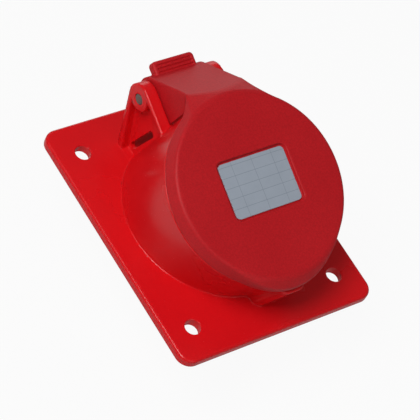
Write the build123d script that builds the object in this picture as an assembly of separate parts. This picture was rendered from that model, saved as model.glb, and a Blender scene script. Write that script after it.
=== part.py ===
from build123d import *
import os
from math import acos, atan2, cos, degrees, hypot, radians, sin, sqrt, tan

# Angled five-pole socket-outlet for panels, with a sprung lid.
# Sizes are in millimetres. The origin is the centre of the flange's back face, +Z points out of the
# panel and +Y points to the hinge. Collar, insert and closed lid share a leaning frame: its origin is
# where the collar's axis meets the back face, and its Z is that axis.

# Flange
flange_width = 80.5
flange_height = 96.5
flange_thickness = 3.3
flange_corner_radius = 5.0
flange_edge_radius = 1.1
hole_spacing_x = 60.0
hole_spacing_y = 73.0
screw_hole_radius = 2.8
screw_hole_edge = 0.35

# Collar: bore for the plug, tapering wall, thinner rim under the lid
lean_angle = 20.0
collar_offset = 1.8
bore_radius = 28.7
collar_base_wall = 1.7
collar_top_wall = 4.3
collar_top = 34.2
rim_wall = 1.55
rim_height = 1.3
ledge_top = 2.0
ledge_thickness = 3.0
rear_sleeve_wall = 2.0
rear_sleeve_depth = 12.0

# Keyway at 6 o'clock
keyway_half_width = 3.2
keyway_depth = 4.1
keyway_length = 21.5
keyway_side_wall = 1.8
keyway_ridge_wall = 3.5
keyway_rim_wall = 1.1
keyway_corner_radius = 3.0

# Pad on the flange below the keyway ridge
pad_half_width = 16.6
pad_wall = 3.1
pad_height = 2.2

# Hinge pin and ears
pin_distance = 42.1
pin_height = 13.9
pin_radius = 2.0
pin_end_chamfer = 0.3
pin_press_clearance = 0.01
pin_running_clearance = 0.06
ear_outer_x = 16.2
ear_thickness = 4.5
ear_nose_radius = 5.5
ear_boss_wall = 2.3
ear_web = 1.5
ear_front_rib = 1.7
ear_back_rib = 2.2
ear_foot_inset = 0.9
ear_slot_width = 2.5
ear_slot_length = 15.5
ear_slot_drop = 12.0

# Lid
lid_thickness = 2.4
skirt_gap = 0.2
skirt_step = 0.1
skirt_draft_angle = 15.5
skirt_wall = 2.1
lid_edge_radius = 1.2
nose_offset = 11.9
nose_setback = 0.55
nose_wall = 1.3
nose_blend_radius = 4.0

# Hinge arm of the lid
arm_side_gap = 0.4
arm_collar_gap = 0.45
saddle_radius = 8.5
saddle_height = 10.7
saddle_inset = 0.25
saddle_sweep_length = 3.6
fairing_inset = 1.6
fairing_angle = 35.0
roof_step = 0.5
roof_wall = 2.1
knuckle_wall = 4.6
cheek_thickness = 3.3
arm_heel_rise = 4.7
hollow_top_drop = 4.0

# Thumb tab
tab_half_width = 8.5
tab_reach = 10.2
tab_rise = 3.8
tab_thickness = 3.4
tab_corner_radius = 1.5
tab_edge_radius = 0.9
groove_count = 3
groove_radius = 0.45
groove_pitch = 1.25
groove_tip_margin = 1.8
groove_end_margin = 1.3

# Label plate in its recess
label_width = 27.0
label_height = 18.9
label_thickness = 0.4
label_corner_radius = 1.6
label_centre = 0.8
label_margin = 0.8
label_recess_depth = 1.0

# Seals
seal_side_gap = 0.3
lid_seal_thickness = 1.35
lid_seal_overlap = 1.5
lid_seal_gap = 0.15
panel_gasket_gap = 1.0
panel_gasket_width = 2.8
panel_gasket_thickness = 1.5

# Insert: contact carrier in front, terminal block behind
insert_gap = 0.2
plug_ring_gap = 4.5
carrier_recess = 5.1
carrier_edge = 0.8
insert_disc_thickness = 3.0
block_step = 3.0
block_length = 13.5

# Contacts, clockwise from the earth at 6 o'clock
contact_ring_radius = 15.4
contact_names = ["earth", "l1", "l2", "l3", "n"]
phase_pin_radius = 2.5
earth_pin_radius = 3.5
plug_pin_fit = 0.05
plug_pin_throat = 0.2
plug_pin_entry = 0.6
contact_front_wall = 1.7
sleeve_wall = 1.0
sleeve_bore_length = 26.7
sleeve_slot_width = 0.7
sleeve_slot_length = 14.7
clip_wall = 0.55
clip_fit = 0.02
clip_length = 4.5
clip_setback = 4.2
clip_slit = 1.2
carrier_bore_gap = 0.28
pillar_wall = 1.65
pillar_gap = 0.2
wire_bore_radius = 2.1
wire_bore_depth = 11.0
wire_bore_funnel = 0.2
wire_entry_radius = 3.2
wire_entry_depth = 4.0

# Clamp screws of the terminals
clamp_screw_radius = 2.0
clamp_screw_length = 7.0
clamp_screw_setback = 5.0
clamp_screw_grip = 0.2
clamp_thread_gap = 0.02
clamp_access_gap = 0.6
drive_slot_width = 0.7
drive_slot_depth = 0.9

# Screws that hold the insert
insert_screw_count = 3
insert_screw_radius = 1.0
insert_screw_gap = 0.05
insert_screw_reach = 2.0
insert_head_radius = 1.8
insert_head_height = 1.6
insert_head_gap = 0.5

# Lid spring
spring_wire_radius = 0.55
spring_mean_radius = 3.4
spring_whole_turns = 6
spring_pitch = 1.4
spring_leg_gap = 0.3
spring_leg_length = 11.0

# Sizes that follow from the ones above
leaning = Location((0, collar_offset, 0), (lean_angle, 0, 0))
far = flange_height
cut_margin = flange_thickness
collar_base_radius = bore_radius + collar_base_wall
collar_top_radius = bore_radius + collar_top_wall
rim_top = collar_top + rim_height
rim_radius = bore_radius + rim_wall
ledge_bottom = ledge_top - ledge_thickness
rear_sleeve_radius = bore_radius + rear_sleeve_wall
keyway_reach = bore_radius + keyway_depth
ear_inner_x = ear_outer_x - ear_thickness
skirt_bottom = collar_top + skirt_gap
skirt_slope = tan(radians(skirt_draft_angle))
cavity_top = rim_top + lid_seal_gap + lid_seal_thickness
face_height = cavity_top + lid_thickness
skirt_growth = (face_height - skirt_bottom) * skirt_slope
face_radius = collar_top_radius + skirt_step - skirt_growth
nose_radius = keyway_reach + keyway_ridge_wall - nose_setback - nose_offset
arm_half_width = ear_inner_x - arm_side_gap
saddle_end = sqrt((collar_top_radius + saddle_radius) ** 2 - (arm_half_width + saddle_radius) ** 2)
hollow_half_width = arm_half_width - cheek_thickness
knuckle_radius = pin_radius + knuckle_wall
roof_start = face_radius + roof_step
tab_tip = pin_distance + tab_reach
tab_top = pin_height + tab_rise
label_floor = face_height - label_recess_depth
panel_gasket_radius = rear_sleeve_radius / cos(radians(lean_angle)) + panel_gasket_gap
insert_disc_radius = bore_radius - insert_gap
carrier_radius = bore_radius - plug_ring_gap
carrier_top = rim_top - carrier_recess
carrier_bottom = ledge_bottom - insert_disc_thickness
block_top = carrier_bottom - insert_disc_thickness
block_bottom = block_top - block_length
contact_top = carrier_top - contact_front_wall
clip_bottom = contact_top - clip_setback - clip_length
pillar_bottom = block_bottom + wire_entry_depth
clamp_screw_height = pillar_bottom + clamp_screw_setback
insert_screw_ring_radius = (carrier_radius + insert_gap + bore_radius) / 2


def round_bar(radius, bottom, top):
    bar = Cylinder(radius, top - bottom, align=(Align.CENTER, Align.CENTER, Align.MIN))
    return Pos(0, 0, bottom) * bar


def taper_bar(bottom_radius, top_radius, bottom, top):
    bar = Cone(bottom_radius, top_radius, top - bottom, align=(Align.CENTER, Align.CENTER, Align.MIN))
    return Pos(0, 0, bottom) * bar


def block(x_limits, y_limits, z_limits):
    sizes = [high - low for low, high in (x_limits, y_limits, z_limits)]
    body = Box(*sizes, align=(Align.MIN, Align.MIN, Align.MIN))
    return Pos(x_limits[0], y_limits[0], z_limits[0]) * body


# Plate whose outline lies in the YZ plane, between two X limits in either order
def side_plate(outline, x_start, x_end):
    low, high = sorted((x_start, x_end))
    return Pos(low, 0, 0) * extrude(Plane.YZ * outline, amount=high - low)


# Convex outline round a circle and some points
def hull_outline(centre, radius, points):
    corners = Polyline(*points).edges()
    return make_hull([(Pos(*centre) * Circle(radius)).edge(), *corners])


# Y and Z on the panel of a point given by its distance and height in the leaning frame
def on_panel(distance, height):
    point = leaning * Pos(0, distance, height)
    return point.position.Y, point.position.Z


def collar_radius_at(height):
    growth = (collar_top_radius - collar_base_radius) / collar_top
    return collar_base_radius + growth * height


# Housing: flange, collar, ears and rear sleeve in one moulding
def make_flange():
    plate = extrude(RectangleRounded(flange_width, flange_height, flange_corner_radius), flange_thickness)
    return fillet(plate.edges().group_by(Axis.Z)[-1], flange_edge_radius)


def make_flange_hole():
    rim_start = flange_thickness - screw_hole_edge
    hole = round_bar(screw_hole_radius, 0, flange_thickness)
    return hole + taper_bar(screw_hole_radius, screw_hole_radius + screw_hole_edge, rim_start, flange_thickness)


def make_ridge(reach, bottom, top):
    half_width = keyway_half_width + keyway_side_wall
    ridge = block((-half_width, half_width), (-reach, 0), (bottom, top))
    return fillet(ridge.edges().filter_by(Axis.Z).group_by(Axis.Y)[0], keyway_corner_radius)


def make_collar():
    collar = taper_bar(collar_radius_at(-far), collar_top_radius, -far, collar_top)
    collar += round_bar(rim_radius, ledge_top, rim_top)
    collar += make_ridge(keyway_reach + keyway_ridge_wall, -far, collar_top)
    return collar + make_ridge(keyway_reach + keyway_rim_wall, ledge_top, rim_top)


def make_ear(side):
    pin = on_panel(pin_distance, pin_height)
    outer_x = side * ear_outer_x
    web_x = side * (ear_inner_x + ear_web)
    root_y, root_z = on_panel(bore_radius / 2, pin_height + ear_nose_radius)
    foot_y = pin[0] - ear_foot_inset
    foot_z = flange_thickness / 2
    outline = hull_outline(pin, ear_nose_radius, [(root_y, root_z), (root_y, foot_z), (foot_y, foot_z)])
    ear = side_plate(outline, side * ear_inner_x, outer_x)

    root_y, root_z = on_panel(bore_radius / 2, pin_height + ear_nose_radius - ear_front_rib)
    corners = [(root_y, root_z), (root_y, flange_thickness), (foot_y - ear_back_rib, flange_thickness)]
    pocket_outline = hull_outline(pin, ear_nose_radius - ear_front_rib, corners)
    pocket = side_plate(pocket_outline, web_x, outer_x + side * cut_margin)
    pocket -= side_plate(Pos(*pin) * Circle(pin_radius + ear_boss_wall), web_x, outer_x)
    ear -= pocket

    slot_height = pin_height - ear_slot_drop
    slot_outline = Pos(collar_base_radius, slot_height) * SlotOverall(ear_slot_length, ear_slot_width, 90)
    ear -= leaning * side_plate(slot_outline, 0, web_x)
    bore = Pos(*pin) * Circle(pin_radius + pin_press_clearance)
    return ear - side_plate(bore, 0, outer_x)


def make_housing():
    behind_z = flange_thickness / 2
    front = block((-far, far), (-far, far), (behind_z, far))
    behind = block((-far, far), (-far, far), (-far, behind_z))
    pad_room = block((-pad_half_width, pad_half_width), (-far, 0), (behind_z, flange_thickness + pad_height))
    rear_sleeve = round_bar(rear_sleeve_radius, ledge_bottom - rear_sleeve_depth, collar_top / 2)
    pad = round_bar(bore_radius + pad_wall, -far, collar_top / 2)

    housing = make_flange() + (leaning * make_collar() & front)
    housing += leaning * rear_sleeve & behind
    housing += leaning * pad & pad_room
    housing += make_ear(-1) + make_ear(1)

    groove_x = (-keyway_half_width, keyway_half_width)
    hollow = round_bar(bore_radius, ledge_top, far)
    hollow += round_bar(carrier_radius + insert_gap, -far, far)
    hollow += round_bar(bore_radius, -far, ledge_bottom)
    hollow += block(groove_x, (-keyway_reach, 0), (rim_top - keyway_length, far))
    housing -= leaning * hollow
    for position in insert_screw_positions():
        hole_radius = insert_screw_radius + insert_screw_gap
        housing -= leaning * position * round_bar(hole_radius, ledge_bottom, ledge_bottom + insert_screw_reach)
    for position in GridLocations(hole_spacing_x, hole_spacing_y, 2, 2):
        housing -= position * make_flange_hole()
    return housing - make_gasket_ring(seal_side_gap)


# Gasket between flange and panel, in its groove round the rear sleeve
def make_gasket_ring(side_gap):
    ring = Circle(panel_gasket_radius + panel_gasket_width + side_gap) - Circle(panel_gasket_radius - side_gap)
    return extrude(Pos(0, collar_offset, 0) * ring, panel_gasket_thickness)


# Lid: face with a nose over the keyway, skirt, hinge arm and thumb tab in one moulding
# Drafted disc with its upright nose, taken in by a wall for each, between two heights
def make_lid_disc(disc_wall, front_wall, bottom, top):
    low = (face_height - bottom) * skirt_slope - disc_wall
    high = (face_height - top) * skirt_slope - disc_wall
    nose = round_bar(nose_radius - front_wall, bottom, top)
    disc = taper_bar(face_radius + low, face_radius + high, bottom, top) + Pos(0, -nose_offset, 0) * nose
    upright = disc.edges().filter_by(lambda edge: edge.bounding_box().size.Z > (top - bottom) / 2)
    return fillet(upright.filter_by_position(Axis.Y, -face_radius, -nose_offset), nose_blend_radius)


def make_cap():
    cap = make_lid_disc(0, 0, skirt_bottom, face_height)
    return fillet(cap.edges().group_by(Axis.Z)[-1], lid_edge_radius)


# Arm blank in plan: sides blend into the skirt through wide saddles that narrow down to the collar
def make_saddle():
    bottom = face_height - saddle_height
    root_radius = face_radius - saddle_inset
    blank = taper_bar(root_radius + saddle_height * skirt_slope, root_radius, bottom, face_height)
    blank += block((-arm_half_width, arm_half_width), (0, tab_tip), (bottom, face_height))
    upright = blank.edges().filter_by(lambda edge: edge.bounding_box().size.Z > saddle_height / 2)
    blank = fillet(upright.filter_by_position(Axis.Y, face_radius / 2, pin_distance), saddle_radius)
    sweep = Polyline(
        (face_radius / 2, face_height),
        (face_radius / 2, skirt_bottom),
        (bore_radius - saddle_sweep_length / 2, skirt_bottom),
        (bore_radius + saddle_sweep_length / 2, bottom),
        (saddle_end, skirt_bottom),
        (saddle_end, face_height),
        close=True,
    )
    return blank & side_plate(make_face(sweep), -face_radius, face_radius)


def make_arm():
    pin = (pin_distance, pin_height)
    inside = face_radius / 2
    points = [(inside, pin_height + arm_heel_rise), (inside, face_height), (roof_start, face_height)]
    side_view = side_plate(hull_outline(pin, knuckle_radius, points), -face_radius, face_radius)
    fairing_radius = face_radius - fairing_inset
    fairing_low_radius = fairing_radius + face_height / tan(radians(fairing_angle))
    fairing = taper_bar(fairing_low_radius, fairing_radius, 0, face_height)
    beam = block((-arm_half_width, arm_half_width), (inside, tab_tip), (0, face_height))
    return (make_saddle() + beam) & side_view & fairing


def make_tab():
    length = tab_tip - pin_distance
    outline = Pos(0, pin_distance + length / 2) * RectangleRounded(2 * tab_half_width, length, tab_corner_radius)
    tab = extrude(Pos(0, 0, tab_top - tab_thickness) * outline, tab_thickness)
    levels = tab.edges().group_by(Axis.Z)
    tab = fillet(levels[0] + levels[-1], tab_edge_radius)
    groove = Rot(0, 90, 0) * Cylinder(groove_radius, 2 * (tab_half_width - groove_end_margin))
    for index in range(groove_count):
        tab -= Pos(0, tab_tip - groove_tip_margin - index * groove_pitch, tab_top) * groove
    return tab


# Angle between the panel side of the hinge and the outward normal of the arm's roof
def roof_normal_angle():
    reach = pin_distance - roof_start
    rise = face_height - pin_height
    return degrees(atan2(rise, -reach) - acos(knuckle_radius / hypot(reach, rise)))


# Room for the spring inside the arm, open towards collar and panel
def make_arm_hollow():
    normal_x = cos(radians(roof_normal_angle()))
    normal_z = sin(radians(roof_normal_angle()))
    top_distance = roof_start - roof_wall * normal_x + hollow_top_drop * normal_z
    top_height = face_height - roof_wall * normal_z - hollow_top_drop * normal_x
    near = collar_top_radius - skirt_wall
    wall_radius = knuckle_radius - roof_wall
    points = [(top_distance, top_height), (near, skirt_bottom), (near, 0), (pin_distance + wall_radius, 0)]
    outline = hull_outline((pin_distance, pin_height), wall_radius, points)
    return side_plate(outline, -hollow_half_width, hollow_half_width)


def make_label_block(growth, bottom, top):
    outline = RectangleRounded(label_width + 2 * growth, label_height + 2 * growth, label_corner_radius + growth)
    return extrude(Pos(0, label_centre, bottom) * outline, top - bottom)


def make_lid():
    lid = make_cap() + make_arm() + make_tab()
    lid -= make_lid_disc(skirt_wall, nose_wall, skirt_bottom, cavity_top)
    lid -= taper_bar(collar_base_radius + arm_collar_gap, collar_top_radius + arm_collar_gap, 0, skirt_bottom)
    lid -= make_arm_hollow()
    lid -= make_label_block(label_margin, label_floor, face_height)
    bore = Pos(pin_distance, pin_height) * Circle(pin_radius + pin_running_clearance)
    return leaning * (lid - side_plate(bore, -ear_outer_x, ear_outer_x))


def make_label_plate():
    return leaning * make_label_block(0, label_floor, label_floor + label_thickness)


def make_lid_seal():
    walls = (skirt_wall + seal_side_gap, nose_wall + seal_side_gap)
    seal = make_lid_disc(*walls, rim_top + lid_seal_gap, cavity_top)
    return leaning * (seal - round_bar(bore_radius - lid_seal_overlap, 0, far))


# Hinge pin, pressed into the ears and running in the lid's cheeks
def make_hinge_pin():
    pin = Cylinder(pin_radius, 2 * ear_outer_x)
    pin = chamfer(pin.edges().filter_by(GeomType.CIRCLE), pin_end_chamfer)
    return leaning * Pos(0, pin_distance, pin_height) * Rot(0, 90, 0) * pin


# Torsion spring round the pin: one leg bears on the collar, the other under the arm's roof
def make_lid_spring():
    turns = spring_whole_turns + (90 + roof_normal_angle()) / 360
    length = turns * spring_pitch
    coil = Helix(spring_pitch, length, spring_mean_radius)
    section = Circle(spring_wire_radius)
    spring = sweep(Plane(origin=coil @ 0, z_dir=coil % 0) * section, path=coil, is_frenet=True)
    collar_reach = collar_radius_at(pin_height - spring_mean_radius) + spring_leg_gap
    spring += extrude(Plane(origin=coil @ 0, z_dir=-(coil % 0)) * section, pin_distance - collar_reach)
    spring += extrude(Plane(origin=coil @ 1, z_dir=coil % 1) * section, spring_leg_length)
    return leaning * Pos(-length / 2, pin_distance, pin_height) * Rot(0, 90, 0) * spring


# Contacts stand on a circle, the earth at 6 o'clock, X pointing outwards at each
def contact_angle(name):
    return -90 - contact_names.index(name) * 360 / len(contact_names)


def contact_position(name):
    return Rot(0, 0, contact_angle(name)) * Pos(contact_ring_radius, 0, 0)


def plug_pin_radius(name):
    return earth_pin_radius if name == "earth" else phase_pin_radius


def sleeve_radius(name):
    return plug_pin_radius(name) + plug_pin_fit + sleeve_wall


def clip_radius(name):
    return sleeve_radius(name) + clip_fit + clip_wall


def pillar_radius(name):
    return plug_pin_radius(name) + plug_pin_fit + pillar_wall


# Contact sleeve with its terminal pillar behind, all slotted the same way whatever their place
def make_sleeve(name):
    radius = sleeve_radius(name)
    half_slot = sleeve_slot_width / 2
    slot_z = (contact_top - sleeve_slot_length, contact_top)
    sleeve = round_bar(radius, ledge_bottom, contact_top)
    sleeve += round_bar(pillar_radius(name), pillar_bottom, ledge_bottom)
    sleeve -= round_bar(radius - sleeve_wall, contact_top - sleeve_bore_length, contact_top)
    slots = block((-radius, radius), (-half_slot, half_slot), slot_z)
    slots += block((-half_slot, half_slot), (-radius, radius), slot_z)
    sleeve -= Rot(0, 0, -contact_angle(name)) * slots
    sleeve -= round_bar(wire_bore_radius, pillar_bottom, pillar_bottom + wire_bore_depth)
    return leaning * contact_position(name) * (sleeve - make_clamp_bar(clamp_thread_gap))


# Split ring round the slotted end of a sleeve
def make_clip(name):
    radius = clip_radius(name)
    top = clip_bottom + clip_length
    clip = round_bar(radius, clip_bottom, top) - round_bar(radius - clip_wall, clip_bottom, top)
    clip -= block((0, radius), (-clip_slit / 2, clip_slit / 2), (clip_bottom, top))
    return leaning * contact_position(name) * clip


def make_clamp_bar(growth):
    start = Pos(wire_bore_radius - clamp_screw_grip, 0, clamp_screw_height) * Rot(0, 90, 0)
    return start * round_bar(clamp_screw_radius + growth, 0, clamp_screw_length)


# Clamp screws point at the wire bores, their drive slots outwards
def make_terminal_screws():
    outer = wire_bore_radius - clamp_screw_grip + clamp_screw_length
    across = (-clamp_screw_radius, clamp_screw_radius)
    slot_z = (clamp_screw_height - drive_slot_width / 2, clamp_screw_height + drive_slot_width / 2)
    screw = make_clamp_bar(0) - block((outer - drive_slot_depth, outer), across, slot_z)
    return Part(children=[leaning * contact_position(name) * screw for name in contact_names])


# Contact carrier: one bore per contact, closed at the front but for a funnel that leads the plug's pin in
def make_carrier():
    carrier = round_bar(carrier_radius, ledge_bottom, carrier_top)
    carrier = chamfer(carrier.edges().group_by(Axis.Z)[-1], carrier_edge)
    carrier += round_bar(insert_disc_radius, carrier_bottom, ledge_bottom)
    for name in contact_names:
        bores = round_bar(clip_radius(name) + carrier_bore_gap, carrier_bottom, contact_top)
        throat, entry = plug_pin_radius(name) + plug_pin_throat, plug_pin_radius(name) + plug_pin_entry
        bores += taper_bar(throat, entry, contact_top, carrier_top)
        carrier -= contact_position(name) * bores
    for position in insert_screw_positions():
        carrier -= position * round_bar(insert_screw_radius + insert_screw_gap, carrier_bottom, ledge_bottom)
    return leaning * carrier


# Terminal block: pillars from the front, wires from behind, clamp screws from the side
def make_terminal_block():
    block_radius = insert_disc_radius - block_step
    body = round_bar(block_radius, block_bottom, block_top)
    body += round_bar(insert_disc_radius, block_top, carrier_bottom)
    for name in contact_names:
        bores = round_bar(pillar_radius(name) + pillar_gap, pillar_bottom, carrier_bottom)
        bores += taper_bar(wire_entry_radius, wire_bore_radius + wire_bore_funnel, block_bottom, pillar_bottom)
        access = round_bar(clamp_screw_radius + clamp_access_gap, 0, block_radius)
        body -= contact_position(name) * (bores + Pos(0, 0, clamp_screw_height) * Rot(0, 90, 0) * access)
    for position in insert_screw_positions():
        body -= position * round_bar(insert_screw_radius + insert_screw_gap, block_top, carrier_bottom)
        body -= position * round_bar(insert_head_radius + insert_head_gap, block_bottom, block_top)
    return leaning * body


def insert_screw_positions():
    return PolarLocations(insert_screw_ring_radius, insert_screw_count, 90)


def make_insert_screws():
    screw = round_bar(insert_screw_radius, block_top, ledge_bottom + insert_screw_reach)
    screw += round_bar(insert_head_radius, block_top - insert_head_height, block_top)
    return Part(children=[leaning * position * screw for position in insert_screw_positions()])


def make_pieces():
    pieces = {
        "flange_housing": make_housing(),
        "panel_gasket": make_gasket_ring(0),
        "contact_carrier": make_carrier(),
        "terminal_block": make_terminal_block(),
        "terminal_screws": make_terminal_screws(),
        "insert_screws": make_insert_screws(),
        "hinge_pin": make_hinge_pin(),
        "lid_spring": make_lid_spring(),
        "lid": make_lid(),
        "lid_seal": make_lid_seal(),
        "label_plate": make_label_plate(),
    }
    for name in contact_names:
        pieces["sleeve_" + name] = make_sleeve(name)
        pieces["clip_" + name] = make_clip(name)
    return pieces


os.makedirs("parts", exist_ok=True)
for node, piece in make_pieces().items():
    export_step(piece, "parts/" + node + ".step")
    print(node, len(piece.solids()), "solids", round(piece.volume), "mm3")
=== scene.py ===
import math
import bpy
import bmesh
import numpy as np
from mathutils import Matrix, Vector


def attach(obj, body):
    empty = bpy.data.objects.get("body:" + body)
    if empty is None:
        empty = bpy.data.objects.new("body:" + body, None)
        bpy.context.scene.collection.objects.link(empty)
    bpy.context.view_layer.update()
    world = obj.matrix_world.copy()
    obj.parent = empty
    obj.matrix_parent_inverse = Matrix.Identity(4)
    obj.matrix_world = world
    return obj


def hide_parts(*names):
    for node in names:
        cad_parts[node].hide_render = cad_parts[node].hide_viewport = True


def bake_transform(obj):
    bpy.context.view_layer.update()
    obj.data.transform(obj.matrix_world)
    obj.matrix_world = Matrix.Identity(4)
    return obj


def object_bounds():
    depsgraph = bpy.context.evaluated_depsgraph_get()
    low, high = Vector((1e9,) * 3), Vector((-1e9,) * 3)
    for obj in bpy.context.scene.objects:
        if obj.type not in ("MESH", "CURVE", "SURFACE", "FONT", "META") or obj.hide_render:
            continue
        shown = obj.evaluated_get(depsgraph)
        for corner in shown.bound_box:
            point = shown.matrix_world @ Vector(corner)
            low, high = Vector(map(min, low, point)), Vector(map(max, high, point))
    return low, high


# Angled five-pole panel socket with a sprung lid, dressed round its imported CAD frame
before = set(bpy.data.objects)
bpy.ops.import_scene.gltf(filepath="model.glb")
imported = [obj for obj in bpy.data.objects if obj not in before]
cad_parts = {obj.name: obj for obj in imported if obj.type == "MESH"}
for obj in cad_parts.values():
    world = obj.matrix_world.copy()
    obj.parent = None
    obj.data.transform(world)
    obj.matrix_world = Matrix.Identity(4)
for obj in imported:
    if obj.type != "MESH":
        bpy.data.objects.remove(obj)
cadLow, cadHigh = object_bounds()

mm = 0.001
lean = {"angle": math.radians(20), "offset": 1.8}  # collar, insert and closed lid lean away from the hinge
upright = Matrix.Scale(mm, 4)
leaning = Matrix.Translation((0, lean["offset"] * mm, 0)) @ Matrix.Rotation(lean["angle"], 4, "X") @ upright
hingePin = (42.1, 13.9)  # distance and height in the leaning frame
farInside = -10  # mm, the value of a field where its shape has no say


def note(text):
    print("scene:", text)


# Distance fields, in mm and negative inside: two shapes joined with a fillet, or cut with a round edge
def join(a, b, radius):
    return np.maximum(radius, np.minimum(a, b)) - np.hypot(np.maximum(radius - a, 0), np.maximum(radius - b, 0))


def meet(a, b, radius):
    return np.minimum(-radius, np.maximum(a, b)) + np.hypot(np.maximum(radius + a, 0), np.maximum(radius + b, 0))


def carve(a, b, radius):
    return meet(a, -b, radius)


def roundedBox(a, b, halfA, halfB, corner):
    overA, overB = np.abs(a) - halfA + corner, np.abs(b) - halfB + corner
    return np.hypot(np.maximum(overA, 0), np.maximum(overB, 0)) + np.minimum(np.maximum(overA, overB), 0) - corner


# Side view that runs straight from one point to a circle, round it clockwise, and straight on to another point
def wrap(a, b, centre, radius, points):
    acrossA, acrossB = a - centre[0], b - centre[1]
    planes, beside = [], []
    for (pointA, pointB), turn in zip(points, (1, -1)):
        toA, toB = pointA - centre[0], pointB - centre[1]
        angle = math.atan2(toB, toA) - turn * math.acos(radius / math.hypot(toA, toB))
        normalA, normalB = math.cos(angle), math.sin(angle)
        planes.append(acrossA * normalA + acrossB * normalB - radius)
        beside.append(turn * (acrossB * normalA - acrossA * normalB) < 0)
    return np.where(beside[0] & beside[1], np.hypot(acrossA, acrossB) - radius, np.maximum(*planes))


def slope(field, points, reach=0.01):
    sides = []
    for axis in range(3):
        ends = []
        for way in (reach, -reach):
            moved = points.copy()
            moved[:, axis] += way
            ends.append(field(*moved.T))
        sides.append(ends[0] - ends[1])
    normals = np.stack(sides, 1)
    return normals / np.maximum(np.linalg.norm(normals, axis=1, keepdims=True), 1e-12)


meshing = {
    "slices": 12,  # the grid is worked out in parts, to save memory
    "rounds": 4,  # of narrowing down where the surface crosses an edge of the grid
    "pull": 0.05,  # towards the mean, where the surface is flat and leaves its vertex free
    "inward": 0.25, "shadeReach": 0.05,  # where a face's corner is shaded, as shares of the face and of the step
    "sharpAngle": math.radians(20),
}


# Mesh of a distance field: one vertex for each cell of a grid that the surface crosses, drawn to the edges and
# corners in it. Blends of cones, saddles and planes like these have no bmesh operator.
def contour(name, field, box, step, place):
    axes = [np.arange(a, b + step, step) for a, b in zip(*box)]
    wholeSlice = np.zeros((1, len(axes[1]), len(axes[2])))
    values = np.concatenate([
        field(part[:, None, None], axes[1][None, :, None], axes[2][None, None, :]) + wholeSlice
        for part in np.array_split(axes[0], meshing["slices"])
    ]).astype(np.float32)
    inside = values < 0
    points, corners = [], []
    cellCounts = [n - 1 for n in values.shape]
    for axis in range(3):
        turned = np.moveaxis(inside, axis, 0)
        crossed = np.argwhere(turned[:-1] != turned[1:])
        index = np.insert(crossed[:, 1:], axis, crossed[:, 0], axis=1)
        start = np.stack([axes[a][index[:, a]] for a in range(3)], 1)
        ends = [np.zeros(len(start)), np.ones(len(start))]
        after = index.copy()
        after[:, axis] += 1
        heights = [values[tuple(index.T)].astype(float), values[tuple(after.T)].astype(float)]
        fromInside = heights[0] < 0
        for _ in range(meshing["rounds"]):
            share = ends[0] + (ends[1] - ends[0]) * heights[0] / (heights[0] - heights[1])
            spot = start.copy()
            spot[:, axis] += share * step
            height = field(*spot.T)
            nearer = (height < 0) == fromInside
            ends = [np.where(nearer, share, ends[0]), np.where(nearer, ends[1], share)]
            heights = [np.where(nearer, height, heights[0]), np.where(nearer, heights[1], height)]
        points.append(spot)
        p, q = (axis + 1) % 3, (axis + 2) % 3
        ring = []
        for moveP, moveQ in ((-1, -1), (0, -1), (0, 0), (-1, 0)):
            cell = index.copy()
            cell[:, p] += moveP
            cell[:, q] += moveQ
            ring.append(np.ravel_multi_index(tuple(cell.T), cellCounts))
        ring = np.stack(ring, 1)
        corners.append(np.where(fromInside[:, None], ring, ring[:, ::-1]))
    points, corners = np.concatenate(points), np.concatenate(corners)
    normals = slope(field, points)
    cells, faces = np.unique(corners, return_inverse=True)
    faces = faces.reshape(-1, 4)
    middle = np.stack([axes[a][i] + step / 2 for a, i in enumerate(np.unravel_index(cells, cellCounts))], 1)
    owner = faces.ravel()
    crossing = np.repeat(np.arange(len(points)), 4)
    offset, normal = points[crossing] - middle[owner], normals[crossing]

    def total(weights):
        return np.bincount(owner, weights, len(cells))

    mean = np.stack([total(offset[:, a]) for a in range(3)], 1) / total(np.ones(len(owner)))[:, None]
    height = (normal * offset).sum(1)
    pull = meshing["pull"]
    matrix = np.stack([total(normal[:, a] * normal[:, b]) for a in range(3) for b in range(3)], 1)
    matrix = matrix.reshape(-1, 3, 3)
    right = np.stack([total(normal[:, a] * height) for a in range(3)], 1)
    vertices = np.linalg.solve(matrix + pull * np.eye(3), (right + pull * mean)[:, :, None])[:, :, 0]
    vertices = np.clip(vertices, -step / 2, step / 2) + middle

    # Smooth shading from the field's own slope, apart from the corners of faces that meet at a sharp edge
    inward = meshing["inward"]
    shown = vertices[faces] * (1 - inward) + vertices[faces].mean(1)[:, None] * inward
    shade = slope(field, shown.reshape(-1, 3), step * meshing["shadeReach"])
    smooth = np.stack([np.bincount(owner, shade[:, a], len(cells)) for a in range(3)], 1)
    smooth /= np.linalg.norm(smooth, axis=1, keepdims=True)
    sharp = (smooth[owner] * shade).sum(1) < math.cos(meshing["sharpAngle"])
    shade = np.where(sharp[:, None], shade, smooth[owner])

    turn = np.array(place.to_3x3())
    mesh = bpy.data.meshes.new(name)
    mesh.from_pydata((vertices @ turn.T + np.array(place.translation)).tolist(), [], faces.tolist())
    mesh.polygons.foreach_set("use_smooth", np.ones(len(faces), bool))
    mesh.normals_split_custom_set((shade @ (turn / mm).T).tolist())
    note(f"{name}: {2 * len(faces)} triangles")
    return addObject(name, mesh)


def addObject(name, mesh):
    obj = bpy.data.objects.new(name, mesh)
    bpy.context.scene.collection.objects.link(obj)
    return obj


def finishMesh(name, bm, place=upright, sharpAngle=35):
    bmesh.ops.transform(bm, matrix=place, verts=bm.verts)
    bmesh.ops.recalc_face_normals(bm, faces=bm.faces)
    mesh = bpy.data.meshes.new(name)
    bm.to_mesh(mesh)
    bm.free()
    mesh.polygons.foreach_set("use_smooth", np.ones(len(mesh.polygons), bool))
    mesh.set_sharp_from_angle(angle=math.radians(sharpAngle))
    return addObject(name, mesh)


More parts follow.
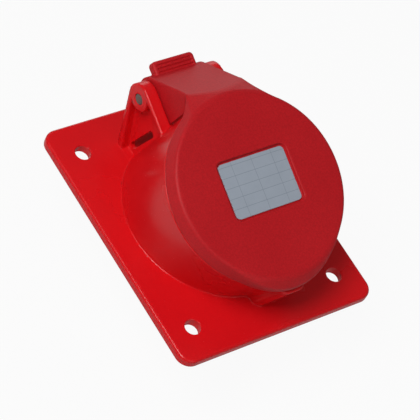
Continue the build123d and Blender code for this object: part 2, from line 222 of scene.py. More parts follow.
# Lathe: a closed outline of (radius, height) points turned round Z
def lathe(outline, steps=96, centre=(0, 0)):
    bm = bmesh.new()
    verts = [bm.verts.new((radius, 0, height)) for radius, height in outline]
    for first, second in zip(verts, verts[1:] + verts[:1]):
        bm.edges.new((first, second))
    bmesh.ops.spin(bm, geom=bm.verts[:] + bm.edges[:], cent=(0, 0, 0), axis=(0, 0, 1),
                   angle=2 * math.pi, steps=steps, use_merge=True)
    bmesh.ops.remove_doubles(bm, verts=bm.verts, dist=0.0005)
    bmesh.ops.recalc_face_normals(bm, faces=bm.faces)
    bmesh.ops.translate(bm, vec=(*centre, 0), verts=bm.verts)
    return bm


def roundEdges(bm, edges, radius, segments):
    bmesh.ops.bevel(bm, geom=edges, offset=radius, offset_type="OFFSET", affect="EDGES",
                    segments=segments, profile=0.5, material=-1)


# Flat plate with its four upright corners rounded
def plateMesh(size, centre, corner, segments):
    bm = bmesh.new()
    bmesh.ops.create_cube(bm, size=1)
    bmesh.ops.scale(bm, vec=size, verts=bm.verts)
    bmesh.ops.translate(bm, vec=centre, verts=bm.verts)
    corners = [e for e in bm.edges if abs(e.verts[0].co.z - e.verts[1].co.z) > size[2] / 2]
    roundEdges(bm, corners, corner, segments)
    return bm


def applyModifiers(obj):
    shownMesh = bpy.data.meshes.new_from_object(obj.evaluated_get(bpy.context.evaluated_depsgraph_get()))
    obj.modifiers.clear()
    obj.data = shownMesh


def cutOut(obj, cutters):
    for cutter in cutters:
        modifier = obj.modifiers.new("cut", "BOOLEAN")
        modifier.operation = "DIFFERENCE"
        modifier.solver = "EXACT"
        modifier.object = cutter
    applyModifiers(obj)
    for cutter in cutters:
        bpy.data.objects.remove(cutter)


def weightNormals(obj):
    modifier = obj.modifiers.new("weights", "WEIGHTED_NORMAL")
    modifier.keep_sharp = True
    modifier.weight = 100
    applyModifiers(obj)


def dress(obj, material, body, slotName, *replaced):
    obj.data.materials.clear()
    obj.data.materials.append(material)
    if body:
        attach(obj, body)
    if replaced:
        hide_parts(*replaced)
    return obj


def linear(hexColour, alpha=1.0):
    parts = [int(hexColour[i:i + 2], 16) / 255 for i in (1, 3, 5)]
    return (*[p / 12.92 if p <= 0.04045 else ((p + 0.055) / 1.055) ** 2.4 for p in parts], alpha)


# Settings are a node's own inputs or properties by name, links are its inputs by name or as in0, in1 and so on
def addNode(tree, kind, settings=None, **links):
    node = tree.nodes.new(kind)
    for key, value in (settings or {}).items():
        if isinstance(key, int) or key in node.inputs:
            node.inputs[key].default_value = value
        else:
            setattr(node, key, value)
    for key, source in links.items():
        numbered = key.startswith("in") and key[2:].isdigit()
        tree.links.new(source, node.inputs[int(key[2:]) if numbered else key])
    return node


def newMaterial(name):
    material = bpy.data.materials.new(name)
    material.use_nodes = True
    tree = material.node_tree
    return material, tree, tree.nodes["Principled BSDF"], addNode(tree, "ShaderNodeTexCoord").outputs["Object"]


def perMm(size):
    return 1 / (size * mm)  # noise scale, in metres of object, for a feature of that many millimetres


def noise(tree, place, size, detail, roughness=0.5):
    settings = {"Scale": perMm(size), "Detail": detail, "Roughness": roughness}
    return addNode(tree, "ShaderNodeTexNoise", settings, Vector=place).outputs["Fac"]


def spread(tree, source, low, high, start=0.0, end=1.0):
    settings = {"From Min": start, "From Max": end, "To Min": low, "To Max": high}
    return addNode(tree, "ShaderNodeMapRange", settings, Value=source).outputs[0]


def tint(tree, share, first, second):
    settings = {"Color1": linear(first), "Color2": linear(second)}
    return addNode(tree, "ShaderNodeMixRGB", settings, Fac=share).outputs[0]


def relief(tree, height, strength, depth, **links):
    settings = {"Strength": strength, "Distance": depth * mm}
    return addNode(tree, "ShaderNodeBump", settings, Height=height, **links).outputs[0]


def wireShader(tree, shader, colour, rough, normal, values):
    for key, source in (("Base Color", colour), ("Roughness", rough), ("Normal", normal)):
        tree.links.new(source, shader.inputs[key])
    for key, value in values.items():
        shader.inputs[key].default_value = value


redSkin = {
    "flowSize": 28, "speckSize": 2.6, "dust": 0.16, "rippleSize": 6, "rippleStrength": 0.12, "rippleDepth": 0.05,
}


# Red polyamide 6, injection moulded in a steel tool: polished on the flange, spark-eroded on the lid.
# The eye sees one deep pigment, a soft skin gloss, faint flow marks and a few handling specks.
# The real grain is too fine to show at this distance, so it is drawn coarser, at 0.5 to 0.6 mm.
def redPolyamide(name, look):
    material, tree, shader, place = newMaterial(name)
    flow = noise(tree, place, redSkin["flowSize"], 3.0, 0.55)
    grain = noise(tree, place, look["grainSize"], 2.0, 0.6)
    speckSettings = {"Scale": perMm(redSkin["speckSize"]), "Randomness": 1.0}
    specks = addNode(tree, "ShaderNodeTexVoronoi", speckSettings, Vector=place)
    tone = tint(tree, flow, look["dark"], look["light"])
    mottle = spread(tree, grain, -look["mottle"], look["mottle"], 0.35, 0.65)
    level = addNode(tree, "ShaderNodeMath", {"operation": "ADD", 1: 1.0}, in0=mottle)
    colour = addNode(tree, "ShaderNodeHueSaturation", {}, Color=tone, Value=level.outputs[0])
    gloss = spread(tree, flow, look["roughness"] - 0.04, look["roughness"] + 0.05, 0.3, 0.7)
    dust = spread(tree, specks.outputs["Distance"], redSkin["dust"], 0.0, 0.03, 0.07)
    rough = addNode(tree, "ShaderNodeMath", {"operation": "ADD"}, in0=gloss, in1=dust)
    grainNormal = relief(tree, grain, look["grainStrength"], look["grainDepth"])
    ripple = noise(tree, place, redSkin["rippleSize"], 2.0)
    normal = relief(tree, ripple, redSkin["rippleStrength"], redSkin["rippleDepth"], Normal=grainNormal)
    wireShader(tree, shader, colour.outputs[0], rough.outputs[0], normal, {
        "IOR": 1.53, "Specular IOR Level": look["specular"],
        "Subsurface Weight": 0.04, "Subsurface Radius": (0.0012, 0.0003, 0.0002), "Subsurface Scale": 1.0,
    })
    return material


flangeLook = {
    "dark": "#d31119", "light": "#e2151b", "mottle": 0.02, "roughness": 0.25, "specular": 0.27,
    "grainSize": 0.5, "grainStrength": 0.1, "grainDepth": 0.01,
}
lidLook = {
    "dark": "#b5161e", "light": "#c31b22", "mottle": 0.09, "roughness": 0.48, "specular": 0.2,
    "grainSize": 0.6, "grainStrength": 0.7, "grainDepth": 0.04,
}
redGloss = redPolyamide("red_polyamide_gloss", flangeLook)
redGrain = redPolyamide("red_polyamide_spark_eroded", lidLook)

foilLook = {
    "dark": "#99a2ae", "light": "#a4adb9", "ruling": "#868e9a", "cloudSize": 5,
    "textureSize": 0.3, "textureStrength": 0.15, "textureDepth": 0.01, "smooth": 0.38, "rough": 0.52,
    "line": 0.09, "fieldWidth": 8.2, "fieldHeight": 3.55,
}


# Polyester foil, screen printed: the eye sees an even satin grey, ruled into empty fields.
# The film's texture is too fine to show, so it is drawn coarser, at 0.3 mm.
def labelFoil():
    material, tree, shader, place = newMaterial("label_foil_satin")
    flat = addNode(tree, "ShaderNodeMapping", {"Rotation": (-lean["angle"], 0, 0)}, Vector=place)
    white, black = linear("#ffffff"), linear("#000000")
    fields = addNode(tree, "ShaderNodeTexBrick", {
        "offset": 0.0, "squash": 1.0, "Color1": white, "Color2": white, "Mortar": black, "Scale": 1000.0,
        "Mortar Size": foilLook["line"], "Mortar Smooth": 0.3,
        "Brick Width": foilLook["fieldWidth"], "Row Height": foilLook["fieldHeight"],
    }, Vector=flat.outputs[0])
    film = tint(tree, noise(tree, place, foilLook["cloudSize"], 3.0), foilLook["dark"], foilLook["light"])
    ruling = {"Color1": linear(foilLook["ruling"])}
    printed = addNode(tree, "ShaderNodeMixRGB", ruling, Fac=fields.outputs["Color"], Color2=film)
    texture = noise(tree, place, foilLook["textureSize"], 2.0)
    rough = spread(tree, texture, foilLook["smooth"], foilLook["rough"])
    normal = relief(tree, texture, foilLook["textureStrength"], foilLook["textureDepth"])
    wireShader(tree, shader, printed.outputs[0], rough, normal, {"IOR": 1.5})
    return material


# Metals: the bare metal's colour, with tool marks along the stretch, rubbed and dulled patches and a rough skin.
# Real tool marks are too fine to show, so they are drawn coarser, at 0.2 to 0.3 mm.
def metal(name, dark, light, roughness, markSize, stretch):
    material, tree, shader, place = newMaterial(name)
    marks = addNode(tree, "ShaderNodeMapping", {"Scale": stretch}, Vector=place)
    fine = noise(tree, marks.outputs[0], markSize, 4.0, 0.6)
    colour = tint(tree, noise(tree, place, 3, 3.0), dark, light)
    rough = spread(tree, fine, roughness - 0.1, roughness + 0.12)
    wireShader(tree, shader, colour, rough, relief(tree, fine, 0.3, 0.01), {"Metallic": 1.0})
    return material


# Mouldings and rubber of one colour: matt skin, grain of the tool, dust in the low spots.
# The tool's grain is too fine to show, so it is drawn coarser, at 0.4 to 0.5 mm.
def moulding(name, dark, light, roughness, grainSize):
    material, tree, shader, place = newMaterial(name)
    colour = tint(tree, noise(tree, place, 9, 4.0), dark, light)
    grain = noise(tree, place, grainSize, 2.0)
    rough = spread(tree, grain, roughness - 0.06, roughness + 0.08)
    wireShader(tree, shader, colour, rough, relief(tree, grain, 0.3, 0.03), {"IOR": 1.5})
    return material


foil = labelFoil()
# Zinc-plated steel rod, cropped and plated: a dull, warm grey end
pinSteel = metal("zinc_plated_steel_pin", "#6e6660", "#8a837c", 0.38, 0.3, (0.15, 1, 1))
# Zinc-plated steel screws, cold headed: an even, cool grey
screwSteel = metal("zinc_plated_steel_screws", "#8d8c88", "#aeaca6", 0.34, 0.25, (1, 1, 0.3))
# Stainless spring wire, drawn: bright grey with streaks along the wire
springSteel = metal("drawn_stainless_wire", "#8b8984", "#a5a39d", 0.3, 0.2, (0.3, 1, 1))
# Brass, turned from bar: warm yellow with turning marks
contactBrass = metal("machined_contact_brass", "#a8853f", "#c6a35a", 0.28, 0.25, (1, 1, 0.25))
# Spring steel strip, rolled and bent: mid grey with rolling marks
clipSteel = metal("rolled_spring_steel", "#7f7d79", "#9a9893", 0.36, 0.3, (1, 1, 0.3))
# Grey polyamide, injection moulded in a blasted tool: matt, dark and even
insertPlastic = moulding("grey_polyamide_insert", "#4c4f54", "#565a60", 0.48, 0.4)
# Nitrile rubber, press moulded: near black, with a dull bloom
sealRubber = moulding("nitrile_rubber_seal", "#1b1c1e", "#26282b", 0.62, 0.5)
note("materials")

# Lid: face with a nose, skirt, arm with saddles, knuckle and thumb tab
lid = {
    "face": 39.4, "skirtBottom": 34.4, "faceRadius": 31.713, "noseReach": 35.3, "noseOffset": 11.26,
    "draft": math.radians(15.5), "noseBlend": 1.5, "edge": 0.6, "hem": 0.35,
    "cavityTop": 37.0, "cavityEdge": 0.5, "mouthEdge": 0.3, "wall": 2.1, "noseWall": 1.3, "noseRoof": 1.1,
    "armHalf": 11.3, "armStart": 15.857, "saddle": 7.0, "saddleDepth": 5.7, "saddleSink": 0.22, "saddleEnd": 0.02,
    "knuckle": 6.6, "heel": 18.6, "roofStart": 32.93, "roofLead": 4, "roofBlend": 0.3,
    "fairingRadius": 31.7, "fairing": math.radians(38.6), "faceBlend": 0.8,
    "collarBase": 30.85, "collarTop": 33.45, "collarHeight": 34.2, "collarEdge": 0.25,
    "hollowHalf": 8.0, "hollowStart": 30.9, "hollowRadius": 4.5, "hollowTop": (32.80, 34.92),
    "hollowSlope": 0.274, "hollowFront": 0.4, "hollowSide": 0.6, "hollowEdge": 0.3, "bore": 2.06, "boreEdge": 0.2,
    "recess": (14.3, 10.25, 2.4), "recessCentre": 0.8, "recessFloor": 38.4, "recessFoot": 0.2, "recessEdge": 0.3,
    "tabHalf": 8.5, "tabTip": 52.3, "tabTop": 17.7, "tabThick": 3.4,
    "tabCorner": 1.5, "tabEdge": 0.9, "tabBlend": 0.5,
    "grooves": (50.5, 49.25, 48.0), "grooveHalf": 7.2, "grooveRadius": 0.45, "grooveEdge": 0.12,
    "grid": ((-34.2, -38.1, 6.3), (34.2, 49.9, 40.3)), "step": 0.4,
}


def lidPlan(x, u, h, discWall=0.0, noseWall=0.0):
    drop = lid["face"] - h
    disc = (np.hypot(x, u) - lid["faceRadius"] - math.tan(lid["draft"]) * drop + discWall) * math.cos(lid["draft"])
    nose = np.hypot(x, u + lid["noseOffset"]) - lid["noseReach"] + lid["noseOffset"] + noseWall
    return disc, join(disc, nose, lid["noseBlend"])


# Cone round the face: the fairing of the arm and the sloping front of the nose
def coneField(x, u, h):
    drop = lid["face"] - h
    return (np.hypot(x, u) - lid["fairingRadius"]) * math.sin(lid["fairing"]) - drop * math.cos(lid["fairing"])


def lidField(x, u, h):
    drop = lid["face"] - h
    disc, capPlan = lidPlan(x, u, h)
    cap = meet(capPlan, lid["skirtBottom"] - h, lid["hem"])

    side = np.abs(x) - lid["armHalf"]
    below = np.maximum(lid["skirtBottom"] - h, 0)  # under the skirt the saddle shrinks and sinks into the collar
    foot = disc + below * (lid["saddleSink"] + math.sin(lid["draft"]))
    saddle = join(foot, side, lid["saddle"] * np.clip(1 - below / lid["saddleDepth"], lid["saddleEnd"], 1))
    saddle = np.maximum(saddle, below - lid["saddleDepth"])
    roofLine = ((lid["roofStart"], lid["face"]), (lid["armStart"], lid["heel"]))
    profile = wrap(u, h, hingePin, lid["knuckle"], roofLine)
    arm = np.maximum(np.maximum(np.minimum(saddle, side), profile), lid["armStart"] - u)

    # One skin over face, fairing and roof, so that one rounded edge runs from the face's rim through the saddles
    roof = np.where(u > lid["roofStart"] - lid["roofLead"], profile, farInside)
    skin = meet(-drop, meet(coneField(x, u, h), roof, lid["roofBlend"]), lid["faceBlend"])
    body = meet(np.minimum(cap, arm), skin, lid["edge"])

    tabMiddle = (hingePin[0] + lid["tabTip"]) / 2
    tabPlan = roundedBox(x, u - tabMiddle, lid["tabHalf"], (lid["tabTip"] - hingePin[0]) / 2, lid["tabCorner"])
    tab = meet(tabPlan, np.abs(h - lid["tabTop"] + lid["tabThick"] / 2) - lid["tabThick"] / 2, lid["tabEdge"])
    body = join(body, tab, lid["tabBlend"])
    for grooveU in lid["grooves"]:
        past = np.maximum(np.abs(x) - lid["grooveHalf"] + lid["grooveRadius"], 0)
        groove = np.sqrt(past ** 2 + (u - grooveU) ** 2 + (h - lid["tabTop"]) ** 2) - lid["grooveRadius"]
        body = carve(body, groove, lid["grooveEdge"])

    cavity = meet(lidPlan(x, u, h, lid["wall"], lid["noseWall"])[1], h - lid["cavityTop"], lid["cavityEdge"])
    cavity = np.maximum(cavity, coneField(x, u, h) + lid["noseRoof"])
    body = carve(body, np.maximum(cavity, lid["skirtBottom"] - 0.01 - h), lid["mouthEdge"])
    coneSlope = (lid["collarTop"] - lid["collarBase"]) / lid["collarHeight"]
    collarRoom = np.maximum(np.hypot(x, u) - lid["collarBase"] - coneSlope * h, h - lid["skirtBottom"])
    body = carve(body, collarRoom, lid["collarEdge"])
    hollowLine = (lid["hollowTop"], (hingePin[0] + lid["hollowRadius"], 0.0))
    hollow = wrap(u, h, hingePin, lid["hollowRadius"], hollowLine)
    hollow = np.maximum(hollow, h - lid["skirtBottom"] - lid["hollowSlope"] * (u - lid["hollowStart"]))
    hollow = meet(hollow, lid["hollowStart"] - u, lid["hollowFront"])
    hollow = meet(hollow, np.abs(x) - lid["hollowHalf"], lid["hollowSide"])
    body = carve(body, hollow, lid["hollowEdge"])
    body = carve(body, np.hypot(u - hingePin[0], h - hingePin[1]) - lid["bore"], lid["boreEdge"])
    halfX, halfU, corner = lid["recess"]
    plan = roundedBox(x, u - lid["recessCentre"], halfX, halfU, corner)
    return carve(body, meet(plan, lid["recessFloor"] - h, lid["recessFoot"]), lid["recessEdge"])


# The tab has a piece of its own on a finer grid, which its grooves need
tabZone = {
    "start": 47.3, "half": 9.2, "low": 13.6, "overlap": 0.1,
    "grid": ((-9.7, 46.7, 12.9), (9.7, 52.9, 18.3)), "step": 0.2,
}


def tabZoneField(x, u, h):
    return np.maximum(np.maximum(tabZone["start"] - u, np.abs(x) - tabZone["half"]), tabZone["low"] - h)


def lidBodyField(x, u, h):
    return np.maximum(lidField(x, u, h), -tabZoneField(x, u, h) - tabZone["overlap"])


def lidTabField(x, u, h):
    return np.maximum(lidField(x, u, h), tabZoneField(x, u, h))


lidBody = contour("lid_moulding", lidBodyField, lid["grid"], lid["step"], leaning)
dress(lidBody, redGrain, "lid", "red_lid_moulding", "lid")
lidTab = contour("lid_thumb_tab", lidTabField, tabZone["grid"], tabZone["step"], leaning)
dress(lidTab, redGrain, "lid", "red_lid_moulding")

seal = {
    "bottom": 35.65, "top": 37.0, "sideGap": 0.3, "innerRadius": 27.2, "edge": 0.15,
    "grid": ((-33.1, -36.1, 34.9), (33.1, 33.1, 37.8)), "step": 0.35,
}


def sealField(x, u, h):
    plan = lidPlan(x, u, h, lid["wall"] + seal["sideGap"], lid["noseWall"] + seal["sideGap"])[1]
    plan = np.maximum(plan, coneField(x, u, h) + lid["noseRoof"] + seal["sideGap"])
    ring = meet(plan, seal["innerRadius"] - np.hypot(x, u), seal["edge"])
    return meet(ring, np.maximum(seal["bottom"] - h, h - seal["top"]), seal["edge"])


lidSeal = contour("lid_seal_ring", sealField, seal["grid"], seal["step"], leaning)
dress(lidSeal, sealRubber, "lid", "seal_rubber", "lid_seal")
note("lid")

# Housing: flange plate, and a second piece with collar, keyway ridge, pad, ears and rear sleeve. The two pieces of
# the one moulding overlap from the middle of the flange up.
flange = {
    "width": 80.5, "height": 96.5, "thick": 3.3, "middle": 1.65, "corner": 5.0, "cornerSegments": 16,
    "edge": 1.1, "edgeSegments": 8, "backEdge": 0.3, "backSegments": 3,
    "holeX": 30.0, "holeY": 36.5, "hole": 2.8, "holeEdge": 0.35, "holeArc": (22.5, 45, 67.5, 90), "holeSteps": 64,
    "grooveInner": 33.37, "grooveOuter": 36.77, "grooveDepth": 1.5, "passage": 29.7, "passageReach": 20,
    "roundSteps": 128, "cutterPast": 1,
}
collar = {
    "bore": 28.7, "base": 30.4, "top": 33.0, "height": 34.2, "topEdge": 0.35,
    "rim": 30.25, "rimTop": 35.5, "rimReach": 33.9, "rimBlend": 0.8, "rimFoot": 0.2,
    "ridgeReach": 36.3, "ridgeHalf": 5.0, "ridgeCorner": 3.0, "ridgeBlend": 2.0,
    "keyHalf": 3.2, "keyReach": 32.8, "keyBottom": 14.0,
    "padHalf": 16.6, "padRadius": 31.8, "padTop": 5.5, "padEdge": 0.5, "padBlend": 0.3, "earBlend": 0.8,
    "footBlend": 0.4, "footReach": 3.0, "footSink": 0.012,
    "carrierHole": 24.4, "carrierEdge": 0.2, "ledgeTop": 2.0, "ledgeBottom": -1.0, "boreEdge": 0.3,
    "sleeve": 30.7, "sleeveTop": 1.7, "sleeveBottom": -13.0, "sleeveEdge": 0.4, "pinHole": 2.01, "pinEdge": 0.15,
    "grid": ((-37.7, -41.2, -14.1), (37.7, 51.4, 36.5)), "step": 0.55,
}
ear = {
    "inner": 11.7, "outer": 16.2, "web": 1.5, "nose": 5.5, "rib": 3.8, "boss": 4.3,
    "footInset": 0.9, "backRib": 2.2, "root": 14.35,
    "slotU": 30.4, "slotH": 1.9, "slotHalf": 6.5, "slotRadius": 1.25, "edge": 0.45,
    "pocketFoot": 0.4, "pocketEdge": 0.3, "pocketRim": 0.35,
}


def onPanel(distance, height):
    point = (leaning @ Vector((0, distance, height))) / mm
    return point.y, point.z


def earField(x, y, z, u, h):
    pinY, pinZ = onPanel(*hingePin)
    side = np.abs(x)
    foot = (pinY - ear["footInset"], flange["middle"])
    root = onPanel(ear["root"], hingePin[1] + ear["nose"])
    outline = np.maximum(wrap(y, z, (pinY, pinZ), ear["nose"], (root, foot)), root[0] - y)
    plate = np.abs(side - (ear["inner"] + ear["outer"]) / 2) - (ear["outer"] - ear["inner"]) / 2
    body = meet(outline, plate, ear["edge"])
    root = onPanel(ear["root"], hingePin[1] + ear["rib"])
    pocket = wrap(y, z, (pinY, pinZ), ear["rib"], (root, (foot[0] - ear["backRib"], flange["thick"])))
    pocket = meet(pocket, flange["thick"] - z, ear["pocketFoot"])
    boss = np.hypot(y - pinY, z - pinZ) - ear["boss"]
    pocket = meet(carve(pocket, boss, ear["pocketEdge"]), ear["inner"] + ear["web"] - side, ear["pocketEdge"])
    body = carve(body, pocket, ear["pocketRim"])
    slotEnd = np.maximum(np.abs(h - ear["slotH"]) - ear["slotHalf"], 0)
    slot = np.hypot(u - ear["slotU"], slotEnd) - ear["slotRadius"]
    body = np.maximum(body, -np.maximum(slot, side - ear["inner"] - ear["web"]))
    return np.maximum(body, flange["middle"] - z)


def ridgeField(x, u, reach):
    return roundedBox(x, u, collar["ridgeHalf"], reach, collar["ridgeCorner"])


def collarField(x, u, h):
    sine, cosine = math.sin(lean["angle"]), math.cos(lean["angle"])
    y, z = lean["offset"] + u * cosine - h * sine, u * sine + h * cosine
    radius = np.hypot(x, u)
    growth = (collar["top"] - collar["base"]) / collar["height"]
    outerWall = radius - collar["base"] - growth * h
    keyRidge = np.maximum(ridgeField(x, u, collar["ridgeReach"]), u)
    body = meet(join(outerWall, keyRidge, collar["ridgeBlend"]), h - collar["height"], collar["topEdge"])
    rim = join(radius - collar["rim"], np.maximum(ridgeField(x, u, collar["rimReach"]), u), collar["rimBlend"])
    body = join(body, meet(rim, h - collar["rimTop"], collar["topEdge"]), collar["rimFoot"])
    pad = meet(radius - collar["padRadius"], np.abs(x) - collar["padHalf"], collar["padEdge"])
    pad = meet(pad, z - collar["padTop"], collar["padEdge"])
    body = join(body, np.maximum(pad, u), collar["padBlend"])
    body = join(body, earField(x, y, z, u, h), collar["earBlend"])
    front = np.maximum(body, flange["middle"] - z)
    slab = np.maximum(z - flange["thick"] + collar["footSink"], flange["middle"] - z)
    front = join(front, np.maximum(slab, body - collar["footReach"]), collar["footBlend"])
    sleeve = np.maximum(radius - collar["sleeve"], z - collar["sleeveTop"])
    solid = np.minimum(front, meet(sleeve, collar["sleeveBottom"] - h, collar["sleeveEdge"]))
    solid = carve(solid, np.maximum(radius - collar["bore"], collar["ledgeTop"] - h), collar["boreEdge"])
    solid = carve(solid, radius - collar["carrierHole"], collar["carrierEdge"])
    solid = carve(solid, np.maximum(radius - collar["bore"], h - collar["ledgeBottom"]), collar["boreEdge"])
    keyway = np.maximum(np.abs(x) - collar["keyHalf"], -u - collar["keyReach"])
    keyway = np.maximum(keyway, collar["keyBottom"] - h)
    solid = carve(solid, np.maximum(keyway, u), collar["boreEdge"])
    return carve(solid, np.hypot(u - hingePin[0], h - hingePin[1]) - collar["pinHole"], collar["pinEdge"])


collarPiece = contour("housing_collar", collarField, collar["grid"], collar["step"], leaning)
dress(collarPiece, redGloss, "housing", "red_moulding", "flange_housing")
note("collar")


def flangePlate():
    top, hole, flare, past = flange["thick"], flange["hole"], flange["holeEdge"], flange["cutterPast"]
    size = (flange["width"], flange["height"], top)
    bm = plateMesh(size, (0, 0, top / 2), flange["corner"], flange["cornerSegments"])
    front = (top, flange["edge"], flange["edgeSegments"])
    back = (0, flange["backEdge"], flange["backSegments"])
    for level, edge, segments in (front, back):
        loop = [e for e in bm.edges if all(abs(v.co.z - level) < 1e-4 for v in e.verts)]
        roundEdges(bm, loop, edge, segments)
    plate = finishMesh("housing_flange", bm)

    outline = [(0, -past), (hole, -past), (hole, top - flare)]
    for angle in np.radians(flange["holeArc"]):
        outline.append((hole + flare * (1 - math.cos(angle)), top - flare + flare * math.sin(angle)))
    outline += [(hole + flare, top + past), (0, top + past)]
    cutters = []
    for x in (-flange["holeX"], flange["holeX"]):
        for y in (-flange["holeY"], flange["holeY"]):
            cutters.append(finishMesh("cutter", lathe(outline, flange["holeSteps"], (x, y))))
    inner, outer, depth = flange["grooveInner"], flange["grooveOuter"], flange["grooveDepth"]
    groove = [(inner, -past), (outer, -past), (outer, depth), (inner, depth)]
    cutters.append(finishMesh("cutter", lathe(groove, flange["roundSteps"], (0, lean["offset"]))))
    wide, reach = flange["passage"], flange["passageReach"]
    passage = [(0, -reach), (wide, -reach), (wide, reach), (0, reach)]  # where the collar goes through
    cutters.append(finishMesh("cutter", lathe(passage, flange["roundSteps"]), leaning))
    cutOut(plate, cutters)
    plate.data.set_sharp_from_angle(angle=math.radians(35))
    weightNormals(plate)
    return plate


dress(flangePlate(), redGloss, "housing", "red_moulding", "flange_housing")
note("flange")

label = {
    "width": 27.0, "height": 18.9, "thick": 0.4, "corner": 1.6, "cornerSegments": 10,
    "centre": 0.8, "floor": 38.4, "edge": 0.1, "edgeSegments": 3,
}


# Label plate, in the recess of the lid
def labelPlate():
    middle = label["floor"] + label["thick"] / 2
    size = (label["width"], label["height"], label["thick"])
    bm = plateMesh(size, (0, label["centre"], middle), label["corner"], label["cornerSegments"])
    rimLoop = [e for e in bm.edges if all(v.co.z > middle for v in e.verts)]
    roundEdges(bm, rimLoop, label["edge"], label["edgeSegments"])
    plate = finishMesh("label_plate_blank", bm, leaning)
    weightNormals(plate)
    return plate


dress(labelPlate(), foil, "lid", "label", "label_plate")

pin = {"radius": 2.0, "half": 16.2, "edge": 0.3, "edgeDrop": 0.08, "edgeShare": 0.55, "edgeRun": 0.1, "steps": 48}


def hingePinPiece():
    radius, half, edge = pin["radius"], pin["half"], pin["edge"]
    end = [
        (0, -half), (radius - edge, -half), (radius - pin["edgeDrop"], -half + edge * pin["edgeShare"]),
        (radius, -half + edge + pin["edgeRun"]),
    ]
    bm = lathe(end + [(across, -along) for across, along in reversed(end)], pin["steps"])
    bmesh.ops.rotate(bm, cent=(0, 0, 0), matrix=Matrix.Rotation(math.pi / 2, 3, "Y"), verts=bm.verts)
    bmesh.ops.translate(bm, vec=(0, *hingePin), verts=bm.verts)
    return finishMesh("hinge_pin_steel", bm, leaning, 30)


dress(hingePinPiece(), pinSteel, "housing", "pin_steel", "hinge_pin")

spring = {
    "wire": 0.55, "wireSegments": 14, "mean": 3.4, "pitch": 1.4, "turns": 6.3477, "stepsPerTurn": 28,
    "collarLeg": 10.6, "roofLeg": 11.0, "tipEdge": 0.12,
}


# Torsion spring: a wire circle spun round the pin's axis, with a straight leg off each end
def springPiece():
    wire, mean, pitch, turns = spring["wire"], spring["mean"], spring["pitch"], spring["turns"]
    steps = round(turns * spring["stepsPerTurn"])
    half = pitch * turns / 2
    lead = pitch / (2 * math.pi * mean)
    turned = 2 * math.pi * turns
    bm = bmesh.new()
    bmesh.ops.create_circle(bm, segments=spring["wireSegments"], radius=wire)
    bmesh.ops.rotate(bm, cent=(0, 0, 0), matrix=Matrix.Rotation(math.pi / 2, 3, "X"), verts=bm.verts)
    bmesh.ops.translate(bm, vec=(-half, hingePin[0], hingePin[1] - mean), verts=bm.verts)
    firstLoop = bm.edges[:]
    coil = bmesh.ops.spin(bm, geom=bm.verts[:] + bm.edges[:], cent=(0, *hingePin), axis=(1, 0, 0),
                          dvec=(2 * half / steps, 0, 0), angle=turned, steps=steps)
    lastLoop = [item for item in coil["geom_last"] if isinstance(item, bmesh.types.BMEdge)]
    ends = (
        (firstLoop, (-lead, -1, 0), spring["collarLeg"]),
        (lastLoop, (lead, math.cos(turned), math.sin(turned)), spring["roofLeg"]),
    )
    for loop, direction, reach in ends:
        leg = bmesh.ops.extrude_edge_only(bm, edges=loop)["geom"]
        tip = [item for item in leg if isinstance(item, bmesh.types.BMVert)]
        rim = [item for item in leg if isinstance(item, bmesh.types.BMEdge) and all(v in tip for v in item.verts)]
        bmesh.ops.translate(bm, vec=Vector(direction).normalized() * reach, verts=tip)
        bmesh.ops.contextual_create(bm, geom=rim)
        roundEdges(bm, rim, spring["tipEdge"], 2)
    piece = finishMesh("lid_spring_wire", bm, leaning, 40)
    dress(piece, springSteel, None, "pin_steel", "lid_spring")
    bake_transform(piece)


springPiece()

# Pieces that keep the CAD's own mesh
finishes = {
    "panel_gasket": sealRubber, "contact_carrier": insertPlastic, "terminal_block": insertPlastic,
    "terminal_screws": screwSteel, "insert_screws": screwSteel, "sleeve": contactBrass, "clip": clipSteel,
}
for nodeName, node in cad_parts.items():
    finish = finishes.get(nodeName) or finishes.get(nodeName.split("_")[0])
    if finish is not None:
        node.data.materials.clear()
        node.data.materials.append(finish)
note("small pieces")

camera = {
    "location": (-0.41306, -0.26672, 0.5803), "clip": (0.01, 20),
    "focal": 2243, "picture": 420, "sensor": 36,  # focal length and width of the picture in pixels, sensor in mm
    "right": (0.79375, -0.50852, 0.33363), "down": (-0.26875, -0.78534, -0.55757),
    "forward": (0.54557, 0.35291, -0.76011),
}


def makeCamera():
    data = bpy.data.cameras.new("camera")
    data.sensor_width = camera["sensor"]
    data.lens = camera["focal"] * camera["sensor"] / camera["picture"]
    data.clip_start, data.clip_end = camera["clip"]
    obj = bpy.data.objects.new("camera", data)
    bpy.context.scene.collection.objects.link(obj)
    right, down, forward = Vector(camera["right"]), Vector(camera["down"]), Vector(camera["forward"])
    turn = Matrix((right, -down, -forward)).transposed()
    obj.matrix_world = Matrix.Translation(camera["location"]) @ turn.to_4x4()
    bpy.context.scene.camera = obj


ground = {"half": 6, "gap": 0.0002, "grey": (0.5, 0.5, 0.5, 1), "whiteShare": 0.94, "mirroredShare": 0.3}


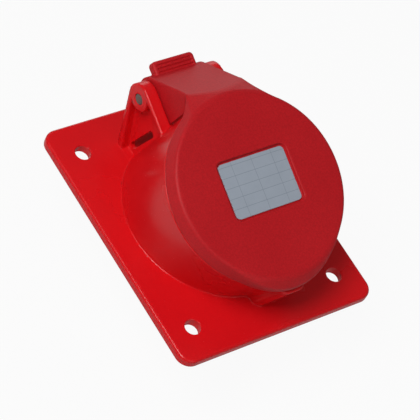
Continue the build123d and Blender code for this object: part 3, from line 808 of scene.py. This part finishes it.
# Floor that shows white to the camera and lies matt grey under the light, with less of its white in reflections
def makeFloor():
    bm = bmesh.new()
    bmesh.ops.create_grid(bm, x_segments=1, y_segments=1, size=ground["half"])
    bmesh.ops.translate(bm, vec=(0, 0, cadLow.z - ground["gap"]), verts=bm.verts)
    mesh = bpy.data.meshes.new("floor")
    bm.to_mesh(mesh)
    bm.free()
    floor = addObject("floor", mesh)
    material = bpy.data.materials.new("pale_floor")
    material.use_nodes = True
    tree = material.node_tree
    tree.nodes.clear()
    ray = addNode(tree, "ShaderNodeLightPath").outputs
    mirroredShare = {"operation": "MULTIPLY", 1: ground["mirroredShare"]}
    whiteShare = {"operation": "MULTIPLY", 1: ground["whiteShare"]}
    more = {"operation": "MAXIMUM"}
    mirrored = addNode(tree, "ShaderNodeMath", mirroredShare, in0=ray["Is Glossy Ray"])
    seen = addNode(tree, "ShaderNodeMath", more, in0=ray["Is Camera Ray"], in1=mirrored.outputs[0])
    seen = addNode(tree, "ShaderNodeMath", more, in0=seen.outputs[0], in1=ray["Is Transmission Ray"])
    share = addNode(tree, "ShaderNodeMath", whiteShare, in0=seen.outputs[0])
    matt = addNode(tree, "ShaderNodeBsdfDiffuse", {"Color": ground["grey"]})
    white = addNode(tree, "ShaderNodeEmission", {"Color": linear("#ffffff"), "Strength": 1.0})
    surfaces = {"in1": matt.outputs[0], "in2": white.outputs[0]}
    mix = addNode(tree, "ShaderNodeMixShader", {}, Fac=share.outputs[0], **surfaces)
    addNode(tree, "ShaderNodeOutputMaterial", {}, Surface=mix.outputs[0])
    mesh.materials.append(material)


sky = {"horizon": 0.3, "top": 0.14, "bandStart": 0.1, "bandEnd": 0.45}


def makeWorld():
    world = bpy.data.worlds.new("studio")
    bpy.context.scene.world = world
    world.use_nodes = True
    tree = world.node_tree
    tree.nodes.clear()
    path = addNode(tree, "ShaderNodeLightPath")
    direction = addNode(tree, "ShaderNodeTexCoord")
    height = addNode(tree, "ShaderNodeSeparateXYZ", {}, Vector=direction.outputs["Generated"])
    band = spread(tree, height.outputs["Z"], sky["horizon"], sky["top"], sky["bandStart"], sky["bandEnd"])
    level = addNode(tree, "ShaderNodeMix", {3: 1.0}, in0=path.outputs["Is Camera Ray"], in2=band)
    surface = addNode(tree, "ShaderNodeBackground", {"Color": linear("#ffffff")}, Strength=level.outputs[0])
    addNode(tree, "ShaderNodeOutputWorld", {}, Surface=surface.outputs[0])


lights = {
    "key": {"location": (-0.47, 0.05, 0.72), "size": (0.4, 0.4), "power": 5.1},
    "fill": {"location": (-0.1, -0.8, 0.55), "size": (0.6, 0.5), "power": 1.2},
    "back": {"location": (0.45, 0.75, 0.12), "size": (0.7, 0.22), "power": 0.9},
}
lightTarget = (0, 0, 0.02)


def makeLight(name, light):
    data = bpy.data.lights.new(name, "AREA")
    data.shape = "RECTANGLE"
    data.size, data.size_y = light["size"]
    data.energy = light["power"]
    obj = bpy.data.objects.new(name, data)
    bpy.context.scene.collection.objects.link(obj)
    obj.location = light["location"]
    obj.rotation_mode = "QUATERNION"
    obj.rotation_quaternion = (Vector(lightTarget) - Vector(light["location"])).to_track_quat("-Z", "Y")


makeCamera()
makeFloor()
makeWorld()
for lightName, light in lights.items():
    makeLight(lightName, light)
bpy.context.scene.view_settings.view_transform = "Standard"
note("stage")
